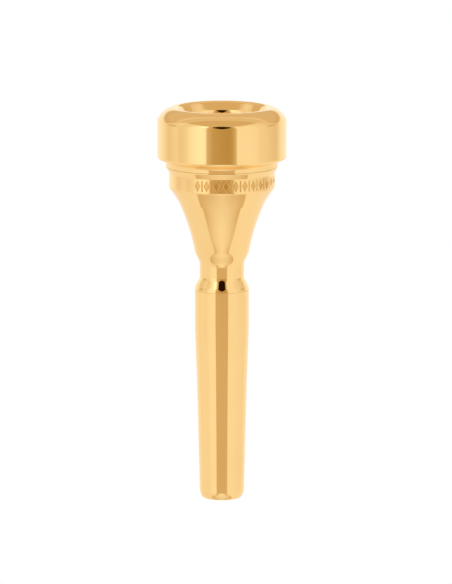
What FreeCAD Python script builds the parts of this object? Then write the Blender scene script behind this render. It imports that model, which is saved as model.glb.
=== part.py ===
import FreeCAD, Part
import math
import os
import re
import Sketcher

# Trumpet mouthpiece in gold plated brass: a cup with a screw rim and a screw shank, sealed by
# two O-rings. The origin is the centre of the shank's end face, and +Z runs along the bore
# towards the rim. Every piece stands in its assembled place. Millimetres and degrees.
os.makedirs("parts", exist_ok=True)
doc = FreeCAD.newDocument("Mouthpiece")

# ---------------------------------------------------------------- driving dimensions
# A name in _r is a distance from the bore axis, and one in _z, _top or _bottom is a height.
# A name in _radius is an arc's radius, except ring, crest, band and head, which are distances
# from the axis. A _share is half the width of a thread groove, as a share of the pitch.
DIMS = {
    # rim, outside
    "overall_length": 87.0, "ring_radius": 14.2, "ring_top": 83.98,
    "crown_edge_radius": 1.15, "crown_edge_r": 14.075, "crown_edge_z": 84.502,
    "crown_mid_radius": 4.86, "crown_mid_r": 12.533, "crown_mid_z": 86.276,
    "crown_outer_radius": 4.0, "crest_radius": 10.236,
    "crown_inner_radius": 0.9, "bite_outer_r": 9.481, "bite_outer_z": 86.590,
    "flank_r": 8.611, "flank_z": 85.250,
    "bite_radius": 1.75, "bite_inner_r": 8.329, "bite_inner_z": 84.358,
    "ring_waist_z": 76.30, "ring_edge_r": 14.13, "ring_edge_z": 76.04,
    "ring_edge_radius": 0.45, "underside_r": 13.90, "underside_z": 75.80,
    "skirt_r": 12.34, "skirt_z": 74.82,
    "cove_r": 12.60, "cove_z": 75.22, "cove_radius": 0.5,
    "rim_foot_r": 12.30, "rim_seat_z": 74.04,
    # rim, inside
    "wall_join_r": 8.28, "inner_seat_z": 82.04,
    "rim_relief_r": 11.1, "rim_relief_z": 81.1, "rim_thread_bore_r": 10.38,
    "rim_step_z": 76.95, "rim_pilot_bore_r": 11.26,
    "rim_gland_r": 11.95, "rim_gland_top": 76.3, "rim_gland_bottom": 75.3,
    # rim thread; an overcut carries a groove past the turned surface
    "rim_pitch": 1.0, "rim_overcut": 0.06, "rim_groove_r": 10.92,
    "rim_mouth_share": 0.447, "rim_floor_share": 0.101,
    "rim_cut_start": 75.86, "rim_cut_height": 5.74,
    # cup, neck
    "neck_top": 82.0, "neck_lead_r": 10.2, "neck_major_r": 10.8, "neck_lead_z": 81.4,
    "undercut_top": 77.86, "undercut_r": 10.12, "undercut_mid": 77.5,
    "neck_pilot_top": 76.9, "neck_pilot_r": 11.2, "cup_seat_z": 74.00,
    "neck_root_r": 10.26, "neck_mouth_share": 0.4346, "neck_floor_share": 0.0884,
    "neck_cut_height": 5.2,
    # cup, outside
    "land_r": 12.27, "land_foot_r": 12.25, "land_foot_z": 73.75,
    "band_radius": 11.63, "band_top": 72.67, "band_bottom": 69.62,
    "band_edge_radius": 0.8, "band_edge_r": 11.477, "band_edge_z": 69.15,
    "chamfer_radius": 40.0, "chamfer_r": 9.47, "chamfer_z": 66.10, "cone_radius": 48.0,
    "knee_r": 6.0, "knee_z": 55.3, "knee_radius": 7.0,
    "knee_foot_r": 5.24, "knee_foot_z": 53.5, "throat_top_radius": 3.5,
    "throat_out_r": 4.86, "throat_out_z": 51.92, "throat_out_low_z": 49.59,
    "flare_r": 5.0295, "flare_z": 48.8973, "flare_radius": 1.5,
    "shoulder_r": 5.7045, "shoulder_z": 47.6006, "shoulder_radius": 1.907,
    "shoulder_low_r": 5.92, "shoulder_low_z": 46.72, "cup_foot_z": 46.62,
    # cup, spigot
    "spigot_r": 4.6, "spigot_gland_top": 45.6, "spigot_gland_bottom": 44.6,
    "spigot_gland_r": 3.93, "spigot_pilot_end": 43.9, "spigot_major_r": 4.2,
    "spigot_undercut_r": 3.68, "spigot_runout": 0.2, "spigot_thread_top": 43.0,
    "spigot_lead_z": 37.5, "spigot_lead_r": 3.72, "spigot_end": 37.04,
    "shank_pitch": 0.75, "shank_overcut": 0.05, "spigot_root_r": 3.80,
    "spigot_mouth_share": 0.4453, "spigot_floor_share": 0.0989,
    "spigot_cut_start": 36.275, "spigot_cut_height": 7.275,
    # bore
    "bowl_upper_radius": 9.4, "bowl_r": 5.05, "bowl_z": 74.55, "bowl_shoulder_radius": 9.1,
    "throat_r": 1.83, "throat_top": 67.62, "throat_bottom": 64.0,
    "backbore_join_r": 2.62, "backbore_exit_r": 3.80,
    # shank
    "head_radius": 5.95, "head_edge": 0.06, "shank_top": 46.58, "head_bottom": 38.0,
    "plug_r": 5.51, "plug_top": 26.0,
    "tip_r": 4.90, "tip_z": 1.7, "tip_face_r": 4.22, "tip_round": 2.6,
    "socket_r": 4.64, "socket_step": 43.84, "socket_thread_r": 3.92, "socket_major_r": 4.32,
    "socket_relief_z": 37.75, "socket_relief_r": 4.42, "socket_floor": 37.0,
    "socket_mouth_share": 0.4276, "socket_floor_share": 0.0817, "socket_cut_height": 6.8,
    # seals, diameter of the round section
    "rim_seal_section": 0.70, "shank_seal_section": 0.66,
    # engraved ornament on the band; angles about the bore axis, 0 facing -Y
    "motif_depth": 0.14, "motif_standoff": 1.0, "band_mid": 71.14,
    "diamond_half_width": 0.66, "diamond_half_height": 1.2,
    "bar_half_width": 0.13, "bar_half_height": 1.15,
    "motif_count": 13, "motif_sweep": 126.0, "diamond_start": -27.0,
}
sheet = doc.addObject("Spreadsheet::Sheet", "Dims")
for row_number, (alias, size) in enumerate(DIMS.items(), start=1):
    sheet.set("A%d" % row_number, alias.replace("_", " "))
    sheet.set("B%d" % row_number, "%.6g" % size)
    sheet.setAlias("B%d" % row_number, alias)
doc.recompute()

# Side of an arc's centre, seen along the way from its first point to its second
LEFT, RIGHT = 1, -1

# Sketcher's numbers for the points of an edge
START, END, CENTRE = 1, 2, 3


# ---------------------------------------------------------------- expressions
# An expression is a string of aliases and numbers joined by + - *, with spaces between them.
def value(text):
    """The value of an expression."""
    terms = text.replace(" - ", " + -1 * ").split(" + ")
    return sum(math.prod(DIMS[word] if word in DIMS else float(word)
                         for word in term.split(" * ")) for term in terms)


def bound(text):
    """The expression as FreeCAD writes it."""
    return re.sub(r"[a-z][a-z_]*", lambda match: "Dims." + match.group(0), text)


def midway(first, second):
    """The expression halfway between two aliases."""
    return first + " * 0.5 + " + second + " * 0.5"


# ---------------------------------------------------------------- sketches
def new_body(label):
    body = doc.addObject("PartDesign::Body", label)
    body.Label = label
    doc.recompute()
    return body


def origin_feature(body, role):
    return next(f for f in body.Origin.OriginFeatures if f.Role == role)


def new_sketch(body, name):
    """A sketch in the XZ plane: its x is the distance from the bore axis, its y the height."""
    sketch = body.newObject("Sketcher::SketchObject", name)
    sketch.AttachmentSupport = [(origin_feature(body, "XZ_Plane"), "")]
    sketch.MapMode = "FlatFace"
    return sketch


def drive(sketch, name, kind, text, *where):
    """Add a dimension driven by an expression."""
    index = sketch.addConstraint(Sketcher.Constraint(kind, *where, value(text)))
    sketch.renameConstraint(index, name)
    sketch.setExpression("Constraints[%d]" % index, bound(text))


def arc_between(start, end, radius, side):
    """The arc from start to end, with the edge's point numbers in that order."""
    chord = end - start
    rise = math.sqrt(radius ** 2 - (chord.Length / 2) ** 2)
    left = FreeCAD.Vector(-chord.y, chord.x, 0).normalize()
    centre = (start + end) * 0.5 + left * (rise * side)
    angles = [math.atan2(p.y - centre.y, p.x - centre.x) for p in (start, end)]
    ends = [START, END]
    if side == RIGHT:
        # An arc runs anticlockwise, so this one is drawn from its far end
        angles.reverse()
        ends.reverse()
    first, last = angles
    if last < first:
        last += 2 * math.pi
    circle = Part.Circle(centre, FreeCAD.Vector(0, 0, 1), radius)
    return Part.ArcOfCircle(circle, first, last), ends


def profile(body, name, loop):
    """A closed sketch through the points of loop.

    A point is (x, y) where a line leads to the next point, and (x, y, radius, side) where an
    arc does. All but the side are expressions.
    """
    sketch = new_sketch(body, name)
    points = [FreeCAD.Vector(value(x), value(y), 0) for x, y, *_ in loop]
    edges = []
    for (_, _, *arc), start, end in zip(loop, points, points[1:] + points[:1]):
        if arc:
            radius, side = arc
            shape, ends = arc_between(start, end, value(radius), side)
        else:
            shape, ends = Part.LineSegment(start, end), [START, END]
        edges.append((sketch.addGeometry(shape, False), *ends))
    for (edge, _, last), (following, first, _) in zip(edges, edges[1:] + edges[:1]):
        sketch.addConstraint(Sketcher.Constraint("Coincident", edge, last, following, first))
    for i, ((x, y, *arc), (edge, first, _)) in enumerate(zip(loop, edges)):
        drive(sketch, "x_%d" % i, "DistanceX", x, edge, first)
        drive(sketch, "y_%d" % i, "DistanceY", y, edge, first)
        if arc:
            drive(sketch, "radius_%d" % i, "Radius", arc[0], edge)
    doc.recompute()
    return sketch


# ---------------------------------------------------------------- features
def finish(body, feature):
    doc.recompute()
    body.Tip = feature


def require_cut(feature, before, least):
    """Stop if the feature took away less than the least volume. Returns what it took."""
    removed = before - feature.Shape.Volume
    if not removed > least:
        raise RuntimeError(feature.Name + " cut too little")
    return removed


def turn(body, name, sketch):
    turned = body.newObject("PartDesign::Revolution", name)
    turned.Profile = sketch
    turned.ReferenceAxis = (sketch, ["V_Axis"])
    turned.Angle = 360.0
    sketch.Visibility = False
    finish(body, turned)


def thread_cut(body, name, inner, outer, start, pitch, height):
    """A right-hand thread groove, cut upwards along the bore axis.

    inner and outer are the section's two sides, each a distance from the axis and a share.
    """
    (inner_r, inner_share), (outer_r, outer_share) = inner, outer
    sketch = profile(body, name + "_section", [
        (inner_r, start + " - " + pitch + " * " + inner_share),
        (outer_r, start + " - " + pitch + " * " + outer_share),
        (outer_r, start + " + " + pitch + " * " + outer_share),
        (inner_r, start + " + " + pitch + " * " + inner_share),
    ])
    before = body.Shape.Volume
    cut = body.newObject("PartDesign::SubtractiveHelix", name)
    cut.Profile = sketch
    cut.ReferenceAxis = (sketch, ["V_Axis"])
    cut.Mode = 0  # by pitch and height
    cut.setExpression("Pitch", bound(pitch))
    cut.setExpression("Height", bound(height))
    cut.Angle = 0
    cut.LeftHanded = False
    cut.Reversed = False
    sketch.Visibility = False
    finish(body, cut)
    require_cut(cut, before, least=1.0)


def engrave(body, name, loop, start_angle):
    """An ornament cut into the band and repeated round part of it."""
    sketch = profile(body, name + "_sketch", loop)
    # Stand the sketch just outside the band, turned about the bore axis to the first place
    swing = FreeCAD.Rotation(FreeCAD.Vector(0, 1, 0), start_angle)
    outward = FreeCAD.Vector(0, 0, value("band_radius + motif_standoff"))
    sketch.AttachmentOffset = FreeCAD.Placement(swing.multVec(outward), swing)
    doc.recompute()

    before = body.Shape.Volume
    cut = body.newObject("PartDesign::Pocket", name)
    cut.Profile = sketch
    cut.Type = 0  # by length
    cut.setExpression("Length", bound("motif_standoff + motif_depth"))
    sketch.Visibility = False
    finish(body, cut)
    single = require_cut(cut, before, least=1e-3)

    row = body.newObject("PartDesign::PolarPattern", name + "_row")
    row.Originals = [cut]
    row.Axis = (origin_feature(body, "Z_Axis"), [""])
    row.setExpression("Angle", bound("motif_sweep"))
    row.setExpression("Occurrences", bound("motif_count"))
    finish(body, row)
    require_cut(row, before, least=single * (DIMS["motif_count"] - 1))


# ---------------------------------------------------------------- rim
def build_rim():
    body = new_body("rim")
    section = profile(body, "rim_section", [
        # outside, from the foot up to the crest
        ("rim_foot_r", "rim_seat_z"),
        ("skirt_r", "skirt_z", "cove_radius", RIGHT),
        ("cove_r", "cove_z"),
        ("underside_r", "underside_z", "ring_edge_radius", LEFT),
        ("ring_edge_r", "ring_edge_z"),
        ("ring_radius", "ring_waist_z"),
        ("ring_radius", "ring_top", "crown_edge_radius", LEFT),
        ("crown_edge_r", "crown_edge_z", "crown_mid_radius", LEFT),
        ("crown_mid_r", "crown_mid_z", "crown_outer_radius", LEFT),
        # over the crest and down the inside
        ("crest_radius", "overall_length", "crown_inner_radius", LEFT),
        ("bite_outer_r", "bite_outer_z"),
        ("flank_r", "flank_z", "bite_radius", LEFT),
        ("bite_inner_r", "bite_inner_z"),
        ("wall_join_r", "inner_seat_z"),
        ("rim_relief_r", "inner_seat_z"),
        ("rim_relief_r", "rim_relief_z"),
        ("rim_thread_bore_r", "rim_relief_z"),
        ("rim_thread_bore_r", "rim_step_z"),
        ("rim_pilot_bore_r", "rim_step_z"),
        ("rim_pilot_bore_r", "rim_gland_top"),
        ("rim_gland_r", "rim_gland_top"),
        ("rim_gland_r", "rim_gland_bottom"),
        ("rim_pilot_bore_r", "rim_gland_bottom"),
        ("rim_pilot_bore_r", "rim_seat_z"),
    ])
    turn(body, "rim_turned", section)
    thread_cut(body, "rim_thread",
               inner=("rim_thread_bore_r - rim_overcut", "rim_mouth_share"),
               outer=("rim_groove_r", "rim_floor_share"),
               start="rim_cut_start", pitch="rim_pitch", height="rim_cut_height")
    return body


# ---------------------------------------------------------------- cup
def build_cup():
    body = new_body("cup")
    section = profile(body, "cup_section", [
        # bore, downwards
        ("wall_join_r", "neck_top", "bowl_upper_radius", RIGHT),
        ("bowl_r", "bowl_z", "bowl_shoulder_radius", LEFT),
        ("throat_r", "throat_top"),
        ("throat_r", "throat_bottom"),
        ("backbore_join_r", "spigot_end"),
        # spigot, upwards
        ("spigot_lead_r", "spigot_end"),
        ("spigot_major_r", "spigot_lead_z"),
        ("spigot_major_r", "spigot_thread_top"),
        ("spigot_undercut_r", "spigot_thread_top + spigot_runout"),
        ("spigot_undercut_r", "spigot_pilot_end"),
        ("spigot_r", "spigot_pilot_end"),
        ("spigot_r", "spigot_gland_bottom"),
        ("spigot_gland_r", "spigot_gland_bottom"),
        ("spigot_gland_r", "spigot_gland_top"),
        ("spigot_r", "spigot_gland_top"),
        ("spigot_r", "cup_foot_z"),
        # outside
        ("shoulder_low_r", "cup_foot_z"),
        ("shoulder_low_r", "shoulder_low_z", "shoulder_radius", LEFT),
        ("shoulder_r", "shoulder_z"),
        ("flare_r", "flare_z", "flare_radius", RIGHT),
        ("throat_out_r", "throat_out_low_z"),
        ("throat_out_r", "throat_out_z", "throat_top_radius", RIGHT),
        ("knee_foot_r", "knee_foot_z", "knee_radius", LEFT),
        ("knee_r", "knee_z", "cone_radius", RIGHT),
        ("chamfer_r", "chamfer_z", "chamfer_radius", RIGHT),
        ("band_edge_r", "band_edge_z", "band_edge_radius", LEFT),
        ("band_radius", "band_bottom"),
        ("band_radius", "band_top"),
        ("land_foot_r", "land_foot_z"),
        ("land_r", "cup_seat_z"),
        # neck
        ("neck_pilot_r", "cup_seat_z"),
        ("neck_pilot_r", "neck_pilot_top"),
        ("undercut_r", "neck_pilot_top"),
        ("undercut_r", "undercut_mid"),
        ("neck_major_r", "undercut_top"),
        ("neck_major_r", "neck_lead_z"),
        ("neck_lead_r", "neck_top"),
    ])
    turn(body, "cup_turned", section)
    # Half a pitch out of step with the rim's groove, so that the two threads mesh
    thread_cut(body, "cup_upper_thread",
               inner=("neck_root_r", "neck_floor_share"),
               outer=("neck_major_r + rim_overcut", "neck_mouth_share"),
               start="rim_cut_start + 1.5 * rim_pitch", pitch="rim_pitch",
               height="neck_cut_height")
    thread_cut(body, "cup_lower_thread",
               inner=("spigot_root_r", "spigot_floor_share"),
               outer=("spigot_major_r + shank_overcut", "spigot_mouth_share"),
               start="spigot_cut_start", pitch="shank_pitch", height="spigot_cut_height")

    # Diamonds round the band, each followed by a bar half a step further on
    engrave(body, "diamond", [
        ("0 - diamond_half_width", "band_mid"),
        ("0", "band_mid - diamond_half_height"),
        ("diamond_half_width", "band_mid"),
        ("0", "band_mid + diamond_half_height"),
    ], DIMS["diamond_start"])
    motif_step = DIMS["motif_sweep"] / (DIMS["motif_count"] - 1)
    engrave(body, "bar", [
        ("0 - bar_half_width", "band_mid - bar_half_height"),
        ("bar_half_width", "band_mid - bar_half_height"),
        ("bar_half_width", "band_mid + bar_half_height"),
        ("0 - bar_half_width", "band_mid + bar_half_height"),
    ], DIMS["diamond_start"] + motif_step / 2)
    return body


# ---------------------------------------------------------------- shank
def build_shank():
    body = new_body("shank")
    section = profile(body, "shank_section", [
        # outside, upwards
        ("tip_face_r", "0", "tip_round", LEFT),
        ("tip_r", "tip_z"),
        ("plug_r", "plug_top"),
        ("head_radius", "head_bottom"),
        ("head_radius", "shank_top - head_edge"),
        ("head_radius - head_edge", "shank_top"),
        # socket and backbore, downwards
        ("socket_r", "shank_top"),
        ("socket_r", "socket_step"),
        ("socket_thread_r", "socket_step"),
        ("socket_thread_r", "socket_relief_z"),
        ("socket_relief_r", "socket_relief_z"),
        ("socket_relief_r", "socket_floor"),
        ("backbore_join_r", "socket_floor"),
        ("backbore_exit_r", "0"),
    ])
    turn(body, "shank_turned", section)
    # Half a pitch out of step with the spigot's groove
    thread_cut(body, "shank_thread",
               inner=("socket_thread_r - shank_overcut", "socket_mouth_share"),
               outer=("socket_major_r", "socket_floor_share"),
               start="spigot_cut_start + 1.5 * shank_pitch", pitch="shank_pitch",
               height="socket_cut_height")
    return body


# ---------------------------------------------------------------- seals
def build_o_ring(label, ring_r, ring_z, section):
    body = new_body(label)
    sketch = new_sketch(body, label + "_section")
    section_r = section + " * 0.5"
    centre = FreeCAD.Vector(value(ring_r), value(ring_z), 0)
    circle = Part.Circle(centre, FreeCAD.Vector(0, 0, 1), value(section_r))
    edge = sketch.addGeometry(circle, False)
    drive(sketch, "ring_r", "DistanceX", ring_r, edge, CENTRE)
    drive(sketch, "ring_z", "DistanceY", ring_z, edge, CENTRE)
    drive(sketch, "section_r", "Radius", section_r, edge)
    doc.recompute()
    turn(body, label + "_turned", sketch)
    return body


# Each seal sits in the middle of its gland, between the gland's floor and the facing wall
bodies = [
    build_rim(),
    build_cup(),
    build_shank(),
    build_o_ring("rim_seal", midway("rim_gland_r", "neck_pilot_r"),
                 midway("rim_gland_top", "rim_gland_bottom"), "rim_seal_section"),
    build_o_ring("shank_seal", midway("spigot_gland_r", "socket_r"),
                 midway("spigot_gland_top", "spigot_gland_bottom"), "shank_seal_section"),
]

# ---------------------------------------------------------------- checks and files
doc.recompute()
for item in doc.Objects:
    if "Invalid" in item.State or "Error" in item.State:
        raise RuntimeError("%s: %s" % (item.Name, item.State))
for body in bodies:
    shape = body.Shape
    if shape.isNull() or not shape.isValid() or len(shape.Solids) != 1:
        raise RuntimeError("%s: null, invalid or %d solids" % (body.Label, len(shape.Solids)))
    shape.exportStep("parts/%s.step" % body.Label)
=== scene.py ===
# A gold-plated cup with a screwed-on rim ring above, a screwed-on shank below and an O-ring at
# each joint. All are turned round the Z axis, with the shank's tip at z = 0 and the rim on top.
# The camera looks from -Y, so +X is to the right.
import bpy
import math
from collections import namedtuple
import numpy as np
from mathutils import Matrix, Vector


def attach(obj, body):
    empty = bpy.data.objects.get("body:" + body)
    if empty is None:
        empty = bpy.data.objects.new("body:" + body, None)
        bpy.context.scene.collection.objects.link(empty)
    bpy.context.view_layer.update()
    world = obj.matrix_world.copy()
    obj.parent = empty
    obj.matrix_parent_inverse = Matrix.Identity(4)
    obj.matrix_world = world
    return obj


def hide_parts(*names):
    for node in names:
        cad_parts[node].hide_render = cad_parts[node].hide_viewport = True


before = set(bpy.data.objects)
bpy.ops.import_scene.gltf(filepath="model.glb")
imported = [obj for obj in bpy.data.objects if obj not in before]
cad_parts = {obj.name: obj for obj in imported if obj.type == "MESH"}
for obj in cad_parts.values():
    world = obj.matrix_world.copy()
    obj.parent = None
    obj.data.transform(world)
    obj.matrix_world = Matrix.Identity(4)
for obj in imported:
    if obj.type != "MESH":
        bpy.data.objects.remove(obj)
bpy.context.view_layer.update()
scene = bpy.context.scene
MM = 0.001
COLS = 384          # facets round a turned piece
FINE = 4                              # the band is this many times finer
STEP = 0.05        # height of a thread row
BAND_STEP = 0.055  # height of a band row

# ------------------------------------------------------------------ sizes, millimetres
NECK_TOP, SPIGOT_TIP = 82.0, 37.04          # ends of the cup
NECK_FOOT, SPIGOT_HEAD = 77.34, 43.22       # inner ends of its threads
RIM_THREAD_TOP, RIM_THREAD_FOOT = 81.10, 76.95
SHANK_THREAD_TOP, SHANK_THREAD_FOOT = 43.84, 37.75
LIP = 0.02                                  # a thread stops this far short of its end face
RIM_PITCH, SHANK_PITCH = 1.0, 0.75
NECK_START, SPIGOT_START = 77.36, 36.275    # a groove's height at angle 0

# Engraved band: diamonds and bars by turns, placed by degrees from -Y towards +X
BAND_R, BAND_MID, BAND_DEPTH = 11.63, 71.14, 0.14
BAND_FOOT, BAND_TOP = 69.98, 72.54
MOTIF_PITCH, MOTIF_COUNT = 10.5, 13
DIAMOND_FIRST = -27.0
BAR_FIRST = DIAMOND_FIRST + MOTIF_PITCH / 2
DIAMOND_HALF = (0.66, 1.2)                  # half width, half height
BAR_HALF = (0.13, 1.15)
WALL_OUT, WALL_SPAN = 0.03, 0.07            # sloping wall: start outside the outline, width

# Profiles: (radius, height, edge to the next point, rounding). An edge is None for a line or
# (radius, side), side +1 having its centre on the left of the way. Material lies on the left.
RIM = [    # from the thread's foot up the outside, over the top and down inside to its head
    (10.97, RIM_THREAD_FOOT, None, 0), (11.26, 76.95, None, 0.06), (11.26, 76.30, None, 0.06),
    (11.95, 76.30, None, 0.06), (11.95, 75.30, None, 0.06), (11.26, 75.30, None, 0.06),
    (11.26, 74.04, None, 0.07), (12.30, 74.04, None, 0.05), (12.34, 74.82, (0.5, -1), 0.10),
    (12.60, 75.22, None, 0.10), (13.90, 75.80, (0.45, 1), 0.05), (14.13, 76.04, None, 0.06),
    (14.20, 76.30, None, 0.10), (14.20, 83.98, (1.15, 1), 0.10), (14.075, 84.502, (4.86, 1), 0.12),
    (12.533, 86.276, (4.0, 1), 0.2), (10.236, 87.00, (0.9, 1), 0.10), (9.481, 86.590, None, 0.2),
    (8.611, 85.250, (1.75, 1), 0.2), (8.329, 84.358, None, 0.2), (8.28, 82.04, None, 0.02),
    (11.10, 82.04, None, 0.08), (11.10, RIM_THREAD_TOP, None, 0.08),
    (10.97, RIM_THREAD_TOP, None, 0),
]
CUP_BORE = [    # from the neck's top down the bore to the spigot's tip
    (10.12, NECK_TOP, None, 0), (8.28, NECK_TOP, (9.4, -1), 0.02), (5.05, 74.55, (9.1, 1), 0.3),
    (1.83, 67.62, None, 0.3), (1.83, 64.0, None, 0.5), (2.62, SPIGOT_TIP, None, 0.06),
    (3.66, SPIGOT_TIP, None, 0),
]
CUP_WALL = [    # from the spigot's undercut up the outside to the band
    (3.68, 43.26, None, 0), (3.68, 43.90, None, 0.06), (4.60, 43.90, None, 0.08),
    (4.60, 44.60, None, 0.06), (3.93, 44.60, None, 0.06), (3.93, 45.60, None, 0.06),
    (4.60, 45.60, None, 0.06), (4.60, 46.605, None, 0.08), (5.92, 46.605, None, 0.015),
    (5.92, 46.72, (1.907, 1), 0.03), (5.7045, 47.6006, None, 0.10),
    (5.0295, 48.8973, (1.5, -1), 0.10), (4.86, 49.59, None, 0.10), (4.86, 51.92, (3.5, -1), 0.3),
    (5.24, 53.50, (7.0, 1), 0.3), (6.00, 55.30, (48.0, -1), 0.4), (9.47, 66.10, (40.0, -1), 0.25),
    (11.477, 69.15, (0.8, 1), 0.08), (BAND_R, 69.62, None, 0.10), (BAND_R, 69.76, None, 0),
]
CUP_SHOULDER = [    # from the band up to the neck's undercut
    (BAND_R, 72.56, None, 0), (BAND_R, 72.67, None, 0.05), (12.25, 73.75, None, 0.10),
    (12.27, 74.00, None, 0.05), (11.20, 74.00, None, 0.07), (11.20, 76.90, None, 0.06),
    (10.12, 76.90, None, 0.06), (10.12, 77.30, None, 0),
]
SHANK = [    # from the thread's foot down the bore and up the outside to its head
    (4.38, SHANK_THREAD_FOOT, None, 0), (4.42, SHANK_THREAD_FOOT, None, 0.02),
    (4.42, 37.00, None, 0.08), (2.62, 37.00, None, 0.06), (3.80, 0.0, None, 0.07),
    (4.22, 0.0, (2.6, 1), 0.10), (4.90, 1.7, None, 0.25), (5.51, 26.0, None, 0.4),
    (5.95, 38.0, None, 0.4), (5.95, 46.565, None, 0.01), (5.925, 46.59, None, 0.01),
    (4.64, 46.59, None, 0.07), (4.64, SHANK_THREAD_TOP, None, 0.07),
    (4.36, SHANK_THREAD_TOP, None, 0),
]
# How finely profiles are walked
TRIM_SHARE = 0.42                # most of an edge that one rounded corner may take
LINE_SPAN, ARC_SPAN = 2.0, 1.0   # longest facet, mm
ARC_TURN, CORNER_TURN = 2.0, 12.0    # largest turn between facets, degrees

# One ring of points: values are single numbers or one per point, with the normal's three parts
Row = namedtuple("Row", "cols radius z n_out n_round n_up engraved", defaults=(0.0,))


# ------------------------------------------------------------------ profiles into rows
def unit(v):
    return v / np.hypot(*v)


class Edge:
    """One line or arc of a profile, walked by length."""

    def __init__(self, start, end, bend):
        self.start = np.array(start, float)
        end = np.array(end, float)
        chord = end - self.start
        self.arc = bend is not None
        if not self.arc:
            self.length = float(np.hypot(*chord))
            self.dir = unit(chord)
            return
        self.radius, self.side = bend
        half = np.hypot(*chord) / 2
        left = np.array([-chord[1], chord[0]]) / (2 * half)
        rise = math.sqrt(max(self.radius * self.radius - half * half, 0))
        self.centre = (self.start + end) / 2 + left * rise * self.side
        self.angle = math.atan2(*(self.start - self.centre)[::-1])
        self.length = 2 * self.radius * math.asin(min(1.0, half / self.radius))

    def at(self, s):
        """Point and direction at length s."""
        if not self.arc:
            return self.start + self.dir * s, self.dir
        a = self.angle + self.side * s / self.radius
        return (self.centre + self.radius * np.array([math.cos(a), math.sin(a)]),
                self.side * np.array([-math.sin(a), math.cos(a)]))

    def steps(self, span):
        if not self.arc:
            return max(1, math.ceil(span / LINE_SPAN))
        by_turn = math.ceil(math.degrees(span / self.radius) / ARC_TURN)
        return max(1, by_turn, math.ceil(span / ARC_SPAN))


def ring(point, direction):
    """A plain row, its normal on the right of the way."""
    along = unit(direction)
    return Row(COLS, point[0], point[1], along[1], 0.0, -along[0])


def rounded_corner(corner, p, p_dir, q, q_dir):
    """Rows of a short curve from p to q, pulled to where their tangents meet."""
    cross = p_dir[0] * q_dir[1] - p_dir[1] * q_dir[0]
    if abs(cross) > 0.02:
        gap = q - p
        corner = p + p_dir * ((gap[0] * q_dir[1] - gap[1] * q_dir[0]) / cross)
    turn = math.degrees(math.acos(max(-1, min(1, float(p_dir @ q_dir)))))
    count = max(2, math.ceil(turn / CORNER_TURN))
    rows = []
    for k in range(1, count):
        w = k / count
        rows.append(ring((1 - w) ** 2 * p + 2 * w * (1 - w) * corner + w * w * q,
                         (1 - w) * (corner - p) + w * (q - corner)))
    return rows


def walk(profile):
    """Rows along an open profile, every corner rounded by a short curve."""
    edges = [Edge(a[:2], b[:2], a[2]) for a, b in zip(profile, profile[1:])]
    trims = [0.0] * len(profile)
    for i in range(1, len(edges)):
        trims[i] = min(profile[i][3], TRIM_SHARE * min(edges[i - 1].length, edges[i].length))
    rows = []
    for i, edge in enumerate(edges):
        first, last = trims[i], edge.length - trims[i + 1]
        span = last - first
        steps = edge.steps(span)
        rows += [ring(*edge.at(first + span * k / steps)) for k in range(steps + 1)]
        if trims[i + 1] > 0:
            corner = np.array(profile[i + 1][:2], float)
            rows += rounded_corner(corner, *edge.at(last), *edges[i + 1].at(trims[i + 1]))
    return rows


# ------------------------------------------------------------------ threads and band
def angles(cols):
    return 2 * math.pi * np.arange(cols) / cols


def relief_rows(z_from, z_to, step, radius, cols=COLS, inward=False, marks=None):
    """Rows at constant height; radius depends on height and angle, normals on its slopes."""
    count = max(2, math.ceil(abs(z_to - z_from) / step))
    theta = angles(cols)
    dz, dt = 0.02, 0.02 / 8         # reach of the slope measurement, mm and radians
    sign = -1.0 if inward else 1.0
    rows = []
    for k in range(count + 1):
        z = z_from + (z_to - z_from) * k / count
        r = radius(z, theta)
        slope_z = (radius(z + dz, theta) - radius(z - dz, theta)) / (2 * dz)
        slope_t = (radius(z, theta + dt) - radius(z, theta - dt)) / (2 * dt) / r
        size = np.sqrt(1 + slope_z * slope_z + slope_t * slope_t)
        rows.append(Row(cols, r, z, sign / size, -sign * slope_t / size, -sign * slope_z / size,
                        marks(z, theta) if marks else 0.0))
    return rows


def soft_min(a, b, width=0.03):
    h = np.clip(0.5 + 0.5 * (b - a) / width, 0, 1)
    return b * (1 - h) + a * h - width * h * (1 - h)


def flank(z, theta, start, pitch, flat):
    """Height over the groove floor (half width flat) of a right-hand 60 degree thread."""
    offset = (z - start - pitch * theta / (2 * math.pi) + pitch / 2) % pitch - pitch / 2
    return np.maximum(0, np.abs(offset) - flat) * math.sqrt(3)


def outer_thread(root, start, pitch, flat, blank):
    """Thread cut to radius root in a blank given as (height, radius)."""
    heights, radii = zip(*blank)

    def radius(z, theta):
        groove = root + flank(z, theta, start, pitch, flat)
        return soft_min(groove, np.interp(z, heights, radii))
    return radius


def inner_thread(root, start, pitch, flat, bore):
    """Thread cut out to radius root in a bore."""
    def radius(z, theta):
        groove = root - flank(z, theta, start, pitch, flat)
        return -soft_min(-groove, -bore)
    return radius


neck_thread = outer_thread(
    root=10.26, start=NECK_START, pitch=RIM_PITCH, flat=0.0884,
    blank=[(77.3, 10.12), (77.5, 10.12), (77.86, 10.8), (81.4, 10.8), (82.0, 10.2), (82.2, 10.0)])
spigot_thread = outer_thread(
    root=3.80, start=SPIGOT_START, pitch=SHANK_PITCH, flat=0.0742,
    blank=[(36.8, 3.47), (37.04, 3.72), (37.5, 4.2), (43.0, 4.2), (43.2, 3.68), (43.4, 3.68)])
# The grooves of mating threads lie half a pitch apart
rim_thread = inner_thread(root=10.92, start=NECK_START - 1.5 * RIM_PITCH,
                          pitch=RIM_PITCH, flat=0.101, bore=10.38)
shank_thread = inner_thread(root=4.32, start=SPIGOT_START + 1.5 * SHANK_PITCH,
                            pitch=SHANK_PITCH, flat=0.0613, bore=3.92)


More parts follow.
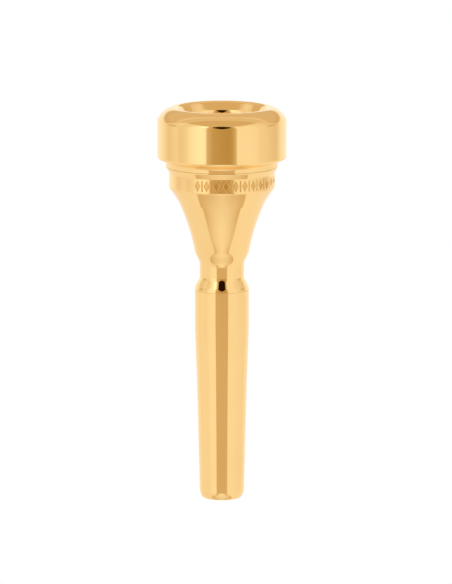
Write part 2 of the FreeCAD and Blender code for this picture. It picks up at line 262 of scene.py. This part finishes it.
def lip(thread, z, into, facing):
    """The row that ends a flat ring face, set into the metal past the thread's last row."""
    return Row(COLS, thread(z, angles(COLS)) + into, z, 0.0, 0.0, facing)


def threaded_bore(thread, top, foot):
    return [lip(thread, top, LIP, 1.0),
            *relief_rows(top - LIP, foot + LIP, STEP, thread, inward=True),
            lip(thread, foot, LIP, -1.0)]


def motif(z, theta):
    """1 inside an engraved diamond or bar of the band, 0 outside, with narrow sloping walls."""
    azimuth = (np.degrees(theta) + 90.0 + 180.0) % 360.0 - 180.0

    def across(first):
        """Distance round the band to the nearest figure's middle."""
        nearest = np.clip(np.round((azimuth - first) / MOTIF_PITCH), 0, MOTIF_COUNT - 1)
        return np.abs(np.radians(azimuth - (first + MOTIF_PITCH * nearest)) * BAND_R)

    height = abs(z - BAND_MID)
    a, b = DIAMOND_HALF
    diamond = (1 - across(DIAMOND_FIRST) / a - height / b) * a * b / math.hypot(a, b)
    bar = np.minimum(BAR_HALF[0] - across(BAR_FIRST), BAR_HALF[1] - height)
    w = np.clip((np.maximum(diamond, bar) + WALL_OUT) / WALL_SPAN, 0, 1)
    return w * w * (3 - 2 * w)


def band(z, theta):
    return BAND_R - BAND_DEPTH * motif(z, theta)


# ------------------------------------------------------------------ rows into meshes
def turned(name, rows):
    """A closed turned piece with exact normals. Neighbouring rows may differ in fineness."""
    ends = np.cumsum([row.cols for row in rows])
    starts = [int(end) - row.cols for end, row in zip(ends, rows)]
    total = int(ends[-1])
    points, normals = np.zeros((total, 3)), np.zeros((total, 3))
    engraved = np.zeros(total, np.float32)
    for start, row in zip(starts, rows):
        part = slice(start, start + row.cols)
        theta = angles(row.cols)
        c, s = np.cos(theta), np.sin(theta)
        level = np.zeros(row.cols)
        points[part] = np.stack([row.radius * c, row.radius * s, row.z + level], 1)
        normals[part] = np.stack([row.n_out * c - row.n_round * s,
                                  row.n_out * s + row.n_round * c, row.n_up + level], 1)
        engraved[part] = row.engraved
    loops, sizes = [], []
    for i, row in enumerate(rows):
        j = (i + 1) % len(rows)
        other = rows[j].cols
        faces = min(row.cols, other)
        k = np.arange(faces)
        near, far = row.cols // faces, other // faces      # edges of a face on either row
        corners = [starts[i] + (k * near + q) % row.cols for q in range(near + 1)]
        corners += [starts[j] + (k * far + far - q) % other for q in range(far + 1)]
        loops.append(np.stack(corners, 1).ravel())
        sizes.append(np.full(faces, len(corners)))
    loops = np.concatenate(loops).astype(np.int32)
    sizes = np.concatenate(sizes).astype(np.int32)
    face_starts = np.concatenate([[0], np.cumsum(sizes)[:-1]]).astype(np.int32)

    mesh = bpy.data.meshes.new(name + "_mesh")
    mesh.vertices.add(total)
    mesh.vertices.foreach_set("co", (points * MM).astype(np.float32).ravel())
    mesh.loops.add(len(loops))
    mesh.loops.foreach_set("vertex_index", loops)
    mesh.polygons.add(len(sizes))
    mesh.polygons.foreach_set("loop_start", face_starts)
    mesh.polygons.foreach_set("loop_total", sizes)
    mesh.update(calc_edges=True)
    mesh.validate()
    mesh.polygons.foreach_set("use_smooth", np.ones(len(mesh.polygons), bool))
    mesh.normals_split_custom_set_from_vertices(normals.astype(np.float32))
    if engraved.any():
        layer = mesh.attributes.new("engraved", "FLOAT", "POINT")
        layer.data.foreach_set("value", engraved)
    piece = bpy.data.objects.new(name, mesh)
    scene.collection.objects.link(piece)
    return piece


def rim_ring():
    return turned("rim_ring",
                  walk(RIM) + threaded_bore(rim_thread, RIM_THREAD_TOP, RIM_THREAD_FOOT))


def cup_body():
    return turned("cup_body", [
        lip(neck_thread, NECK_TOP, -LIP, 1.0),
        *walk(CUP_BORE),
        lip(spigot_thread, SPIGOT_TIP, -LIP, -1.0),
        *relief_rows(SPIGOT_TIP + LIP, SPIGOT_HEAD, STEP, spigot_thread),
        *walk(CUP_WALL),
        *relief_rows(BAND_FOOT, BAND_TOP, BAND_STEP, band, cols=COLS * FINE, marks=motif),
        *walk(CUP_SHOULDER),
        *relief_rows(NECK_FOOT, NECK_TOP - LIP, STEP, neck_thread)])


def shank_tube():
    return turned("shank_tube",
                  walk(SHANK) + threaded_bore(shank_thread, SHANK_THREAD_TOP, SHANK_THREAD_FOOT))


def o_ring(name, radius, section, z):
    """A moulded ring, with the faint parting flash a mould leaves inside and outside."""
    facets, undersize, flash, flash_width = 48, 0.008, 0.006, 0.10
    rows = []
    for k in range(facets):
        a = 2 * math.pi * k / facets
        c, s = math.cos(a), math.sin(a)
        r = section / 2 - undersize + flash * math.exp(-(s / flash_width) ** 2)
        rows.append(Row(COLS, radius + r * c, z + r * s, c, 0.0, s))
    return turned(name, rows)


# ------------------------------------------------------------------ node trees
class Net:
    """Shorthand for building a node tree."""

    def __init__(self, owner):
        owner.use_nodes = True
        self.tree = owner.node_tree
        self.tree.nodes.clear()

    def node(self, kind, inputs=None, **props):
        """A node; inputs maps socket names or numbers to values or sockets to link."""
        node = self.tree.nodes.new(kind)
        for key, value in props.items():
            setattr(node, key, value)
        for key, value in (inputs or {}).items():
            if hasattr(value, "node"):
                self.tree.links.new(value, node.inputs[key])
            else:
                node.inputs[key].default_value = value
        return node

    def math(self, op, *values):
        return self.node("ShaderNodeMath", dict(enumerate(values)), operation=op).outputs[0]

    def add(self, a, b):
        return self.math("ADD", a, b)

    def less(self, a, b):
        return self.math("SUBTRACT", a, b)

    def times(self, a, b):
        return self.math("MULTIPLY", a, b)

    def inverse(self, x):
        return self.less(1.0, x)

    def total(self, start, *parts):
        """start plus every (value, weight)."""
        for value, weight in parts:
            start = self.add(start, self.times(value, weight))
        return start

    def step(self, x, zero, one, kind="SMOOTHSTEP"):
        """0 where x is zero, 1 where it is one."""
        return self.node("ShaderNodeMapRange", {
            "Value": x, "From Min": zero, "From Max": one, "To Min": 0.0, "To Max": 1.0,
        }, interpolation_type=kind, clamp=True).outputs["Result"]

    def near(self, x, full, none):
        """1 while x is within full of 0, falling to 0 at none."""
        return self.inverse(self.step(self.math("ABSOLUTE", x), zero=full, one=none))

    def mix(self, factor, off, on):
        return self.node("ShaderNodeMix", {0: factor, 2: off, 3: on}, data_type="FLOAT").outputs[0]

    def noise(self, vector, scale, detail, rough=0.5):
        return self.node("ShaderNodeTexNoise", {
            "Vector": vector, "Scale": scale, "Detail": detail, "Roughness": rough,
        }).outputs["Fac"]

    def ramp(self, factor, stops):
        """Stops are (position, grey or RGB)."""
        node = self.node("ShaderNodeValToRGB", {0: factor})
        elements = node.color_ramp.elements
        while len(elements) < len(stops):
            elements.new(0.5)
        for element, (position, value) in zip(elements, stops):
            element.position = position
            element.color = (*np.broadcast_to(value, 3), 1)
        return node.outputs[0]

    def curve(self, x, stops, span, scale):
        """Ramp over x from 0 to span; what comes out is the stops' values over scale."""
        return self.ramp(self.math("DIVIDE", x, span),
                         [(at / span, np.divide(value, scale)) for at, value in stops])

    def scaled(self, vector, scale):
        return self.node("ShaderNodeMapping", {"Vector": vector, "Scale": scale}).outputs[0]

    def object_place(self):
        return self.node("ShaderNodeTexCoord").outputs["Object"]

    def bump(self, height, strength, distance):
        return self.node("ShaderNodeBump", {
            "Strength": strength, "Distance": distance, "Height": height}).outputs[0]

    def by_camera_ray(self, other, camera, output):
        """Ends the tree with one shader for camera rays and another for the rest."""
        seen = self.node("ShaderNodeLightPath").outputs["Is Camera Ray"]
        pick = self.node("ShaderNodeMixShader", {0: seen, 1: other, 2: camera})
        self.node(output, {0: pick.outputs[0]})


def principled(net, inputs):
    surface = net.node("ShaderNodeBsdfPrincipled", inputs)
    net.node("ShaderNodeOutputMaterial", {0: surface.outputs[0]})


# ------------------------------------------------------------------ materials
def plate(name, seed, lathe):
    """Polished gold plate: rings of polishing marks, faint scratches, haze patches, and painted
    shade darkening the engraved cuts.
    """
    material = bpy.data.materials.new(name)
    net = Net(material)
    place = net.object_place()
    shifted = net.node("ShaderNodeVectorMath", {0: place, 1: (0.013 * seed, 0.007 * seed, 0.0)},
                       operation="ADD").outputs[0]
    haze = net.noise(shifted, scale=90.0, detail=3.0)
    fine = net.noise(shifted, scale=2600.0, detail=3.0, rough=0.6)
    rings = net.noise(net.scaled(place, (60.0, 60.0, 9000.0)), scale=1.0, detail=3.0, rough=0.6)
    streaks = net.noise(net.scaled(shifted, (2200.0, 2200.0, 260.0)), scale=1.0, detail=2.0)
    scratch = net.step(streaks, zero=0.70, one=0.78)
    engraved = net.node("ShaderNodeAttribute", attribute_name="engraved").outputs["Fac"]
    hazy = net.step(haze, zero=0.35, one=0.75)
    rough = net.total(0.030, (hazy, 0.030), (fine, 0.012), (scratch, 0.05), (engraved, 0.16))
    tone = net.ramp(net.noise(shifted, scale=140.0, detail=2.0),
                    [(0.3, (0.985, 0.708, 0.310)), (0.7, (1.0, 0.728, 0.326))])
    # painted shade: inside the engraved cuts the gold is darkened by inputs[7]
    colour = net.node("ShaderNodeMix", {0: engraved, 6: tone, 7: (0.80, 0.70, 0.55, 1)},
                      data_type="RGBA", blend_type="MULTIPLY").outputs[2]
    height = net.total(net.times(rings, lathe), (fine, 0.10), (scratch, -0.25))
    principled(net, {
        "Metallic": 1.0, "Base Color": colour, "Roughness": rough,
        "Normal": net.bump(height, strength=0.5, distance=0.0000012)})
    return material


def rubber(name):
    """Black rubber, matt and finely grained."""
    material = bpy.data.materials.new(name)
    net = Net(material)
    place = net.object_place()
    grain = net.noise(place, scale=5200.0, detail=4.0, rough=0.6)
    patch = net.noise(place, scale=420.0, detail=3.0)
    principled(net, {
        "Base Color": net.ramp(patch, [(0.3, (0.012, 0.012, 0.013)), (0.7, (0.026, 0.025, 0.024))]),
        "Roughness": net.total(0.42, (grain, 0.22)),
        "Specular IOR Level": 0.45,
        "Normal": net.bump(net.total(grain, (patch, 0.5)), strength=0.35, distance=0.00001)})
    return material


# ------------------------------------------------------------------ the pieces
rim, cup, shank = rim_ring(), cup_body(), shank_tube()
rim_seal = o_ring("rim_o_ring", radius=11.575, section=0.70, z=75.8)
shank_seal = o_ring("shank_o_ring", radius=4.285, section=0.66, z=45.1)
black = rubber("seal_rubber")
for piece, node, slot_name, material in (
    (rim, "rim", "rim_plate", plate("rim_plate", seed=1, lathe=0.5)),
    (cup, "cup", "cup_plate", plate("cup_plate", seed=2, lathe=0.5)),
    (shank, "shank", "shank_plate", plate("shank_plate", seed=3, lathe=0.8)),
    (rim_seal, "rim_seal", "seal_rubber", black),
    (shank_seal, "shank_seal", "seal_rubber", black),
):
    piece.data.materials.append(material)
    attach(piece, node)
    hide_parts(node)


# ------------------------------------------------------------------ floor
def white_floor():
    """A glowing white floor just below z = 0 that only the camera sees."""
    half, z = 6.0, -0.00002
    mesh = bpy.data.meshes.new("floor_mesh")
    corners = [(-half, -half, z), (half, -half, z), (half, half, z), (-half, half, z)]
    mesh.from_pydata(corners, [], [(0, 1, 2, 3)])
    floor = bpy.data.objects.new("floor", mesh)
    scene.collection.objects.link(floor)
    material = bpy.data.materials.new("pale_floor")
    net = Net(material)
    glow = net.node("ShaderNodeEmission", {"Color": (1, 1, 1, 1), "Strength": 1.0})
    clear = net.node("ShaderNodeBsdfTransparent")
    net.by_camera_ray(clear.outputs[0], glow.outputs[0], "ShaderNodeOutputMaterial")
    mesh.materials.append(material)
    return floor


white_floor()

# ------------------------------------------------------------------ studio light
# A white light tent, given as brightness by direction. Azimuth 0 is towards the camera and grows
# to the right; elevation is the angle above the horizon. Both are in degrees. Its front is open,
# and the camera stands dark in the opening.
DEGREES = 180 / math.pi
QUARTER = 90.0          # span of the ramps that hold angles
WALLS = [    # azimuth, brightness of the tent at the horizon
    (-180, 1.25), (-142, 1.25), (-124, 1.12), (-110, 0.92), (-99, 0.99), (-89, 1.06),
    (-79, 0.94), (-66, 1.05), (-54, 1.29), (-38, 1.40), (-29.5, 1.32), (-26, 0.64),
    (-21, 0.61), (-17, 0.52), (-10, 0.49), (0, 0.455), (12, 0.44), (18, 0.47),
    (23, 0.62), (24.5, 0.62), (28, 1.15), (48, 1.16), (64, 1.13), (73, 1.03),
    (87, 1.00), (102, 0.90), (114, 0.86), (129, 1.20), (149, 1.28), (180, 1.28),
]
CEILING = [    # 0.5 overhead, growing towards the back; half the brightness
    (0.40, 0.33), (0.46, 0.33), (0.475, 0.405), (0.55, 0.41), (0.585, 0.37), (0.605, 0.38),
    (0.635, 0.465), (0.68, 0.455), (0.71, 0.41), (0.80, 0.37), (0.90, 0.37),
]
EAVES = [    # azimuth either way, elevation where the ceiling starts
    (0, 47.7), (80, 47.7), (93, 45), (106, 36), (120, 17.1), (180, 17.1),
]
FLOOR_SHADOW_EDGES = [    # angle below the horizon, azimuth either way of the edges of the painted shadows on the floor
    (10, 26.5), (32, 30), (35, 36.5), (38, 46), (41, 51.5), (45, 57.5), (49, 64), (52, 70),
    (61, 97), (75, 99),
]
FLOOR_SHADOW_DEPTH = [    # angle below the horizon, share of light lost at the edge of the painted floor shadow
    (30, 0.45), (34, 0.36), (36, 0.29), (40, 0.29), (44, 0.33), (48, 0.40), (54, 0.38), (62, 0.34),
]
CAMERA_REACH = [    # elevation, half width in azimuth of the dark camera
    (8, 0), (14, 5.5), (22, 10.5), (32, 15.5), (40, 19.5), (46, 18.5), (50, 8), (52, 0),
]
TONE = [     # brightness, colour of the light: daylight where bright, warm room light where dim
    (0.0, (0.0, 0.0, 0.0)), (0.05, (0.09, 0.03, 0.005)), (0.456, (0.52, 0.36, 0.16)),
    (0.55, (0.60, 0.445, 0.24)), (0.62, (0.66, 0.505, 0.335)), (0.66, (0.70, 0.535, 0.36)),
    (0.93, (0.86, 0.755, 0.66)), (1.03, (0.92, 0.835, 0.76)), (1.17, (1.01, 0.945, 0.90)),
    (1.40, (1.22, 1.13, 1.10)), (2.0, (2.2, 2.0, 2.3)),
]


def tent_walls(net, az, el, away):
    """Wall brightness, and a mask of the open front."""
    turn = net.add(net.math("DIVIDE", az, 360.0), 0.5)
    half_bright = net.ramp(turn, [((a + 180) / 360, v / 2) for a, v in WALLS])
    wall = net.times(half_bright, 2.0)
    front = net.inverse(net.step(away, zero=25.0, one=28.5))
    low = net.step(el, zero=-8.6, one=-9.9)
    sides = net.mix(net.times(low, 0.75), off=wall, on=1.13)
    # the opening grows brighter towards the floor in front of it
    return net.mix(front, off=sides, on=net.mix(low, off=wall, on=0.655)), front


def tent_ceiling(net, level, el, away, y, z):
    """The ceiling over the walls, and a darker line above the eaves at the back."""
    lean = net.math("DIVIDE", y, net.math("MAXIMUM", z, 0.2))
    lights = net.ramp(net.add(net.times(lean, 0.5), 0.5), CEILING)
    eaves = net.times(net.curve(away, EAVES, span=180.0, scale=QUARTER), QUARTER)
    above = net.less(el, eaves)
    over = net.step(above, zero=-3.0, one=3.5)
    level = net.mix(over, off=level, on=net.times(lights, 2.0))
    back = net.step(away, zero=100.0, one=116.0)
    line = net.times(back, net.near(net.less(above, 6.5), full=2.0, none=6.0))
    return net.less(level, net.times(line, 0.07))


def lamp_and_gaps(net, level, az, el, away):
    """A lamp high on the left, and a dark gap in the cloth on either side."""
    lamp = net.times(net.near(net.add(az, 38.0), full=4.0, none=10.0),
                     net.near(net.less(el, 40.0), full=4.0, none=8.0))
    level = net.mix(lamp, off=level, on=1.6)
    gap = net.times(net.near(net.less(away, 100.0), full=7.0, none=15.0),
                    net.near(net.less(el, 9.0), full=7.0, none=13.0))
    return net.mix(gap, off=level, on=0.70)


def tent_floor(net, az, el):
    """Floor brightness, with painted shadows: two soft dark lines, the object's own shadows on the
    floor, running out from the opening.
    """
    shadow_edge = net.curve(net.times(el, -1.0), FLOOR_SHADOW_EDGES, span=QUARTER, scale=QUARTER)
    off_middle = net.math("ABSOLUTE", net.add(az, 1.0))
    across = net.math("DIVIDE", off_middle, net.times(shadow_edge, QUARTER))    # 1 at the edge of the painted shadow
    nadir = net.step(el, zero=-80.0, one=-87.0)
    within = net.math("MAXIMUM", nadir, net.inverse(net.step(across, zero=0.98, one=1.12)))
    fade = net.step(across, zero=0.0, one=1.0, kind="LINEAR")
    depth = net.curve(net.times(el, -1.0), FLOOR_SHADOW_DEPTH, span=QUARTER, scale=1.0)
    centre = net.mix(net.step(el, zero=-44.0, one=-60.0), off=1.14, on=1.02)
    steep = net.mix(net.step(el, zero=-66.0, one=-80.0), off=1.0, on=0.95)
    apron = net.mix(net.step(el, zero=-50.0, one=-64.0),
                    off=net.mix(net.step(az, zero=-10.0, one=10.0), off=1.07, on=1.12), on=1.13)
    outside, middle = net.times(steep, apron), net.times(steep, centre)
    # painted shadow: the floor darkens towards the shadow's edges
    loss = net.times(net.math("POWER", fade, 1.5), net.times(depth, net.inverse(nadir)))
    return net.mix(within, off=outside, on=net.times(middle, net.inverse(loss)))


def camera_shadow(net, level, el, away):
    """The camera and what stands behind it."""
    reach = net.times(net.curve(el, CAMERA_REACH, span=QUARTER, scale=QUARTER), QUARTER)
    beside = net.step(net.less(away, reach), zero=-1.2, one=1.2)
    dark = net.times(net.inverse(beside),
                     net.times(net.step(el, zero=8.0, one=11.0),
                               net.inverse(net.step(el, zero=49.0, one=52.0))))
    return net.mix(dark, off=level, on=0.010)


def light_tent():
    world = bpy.data.worlds.new("light_tent")
    scene.world = world
    net = Net(world)
    direction = net.node("ShaderNodeTexCoord").outputs["Generated"]
    x, y, z = net.node("ShaderNodeSeparateXYZ", {0: direction}).outputs
    az = net.times(net.math("ARCTAN2", x, net.times(y, -1.0)), DEGREES)
    el = net.times(net.math("ARCSINE", z), DEGREES)
    away = net.math("ABSOLUTE", az)
    level, front = tent_walls(net, az, el, away)
    level = tent_ceiling(net, level, el, away, y, z)
    level = lamp_and_gaps(net, level, az, el, away)
    ground = tent_floor(net, az, el)
    edge = net.mix(front, off=net.step(el, zero=-14.0, one=-26.0),
                   on=net.step(el, zero=-16.0, one=-19.0))
    level = net.mix(edge, off=level, on=ground)
    level = camera_shadow(net, level, el, away)
    tint = net.curve(level, TONE, span=2.0, scale=2.0)
    tent = net.node("ShaderNodeBackground", {"Color": tint, "Strength": 2.0})
    white = net.node("ShaderNodeBackground", {"Color": (1, 1, 1, 1)})
    net.by_camera_ray(tent.outputs[0], white.outputs[0], "ShaderNodeOutputWorld")


light_tent()


# ------------------------------------------------------------------ camera
def place_camera():
    distance, lift = 1.200, math.radians(10.1)
    aim = Vector((0, 0, 0.0435))
    camera = bpy.data.objects.new("camera", bpy.data.cameras.new("camera"))
    scene.collection.objects.link(camera)
    camera.location = aim + Vector((0, -math.cos(lift), math.sin(lift))) * distance
    camera.rotation_euler = (math.pi / 2 - lift, 0, 0)
    camera.data.lens = 336.1
    camera.data.sensor_width = 36.0
    camera.data.shift_x = 0.0070205479
    camera.data.shift_y = 0.018664384
    camera.data.clip_end = 20.0
    scene.camera = camera


place_camera()
scene.view_settings.view_transform = "Standard"
scene.view_settings.look = "None"
scene.view_settings.exposure = 0.0
scene.cycles.max_bounces = 16     # light goes in and out of the bowl over many reflections
scene.cycles.glossy_bounces = 16
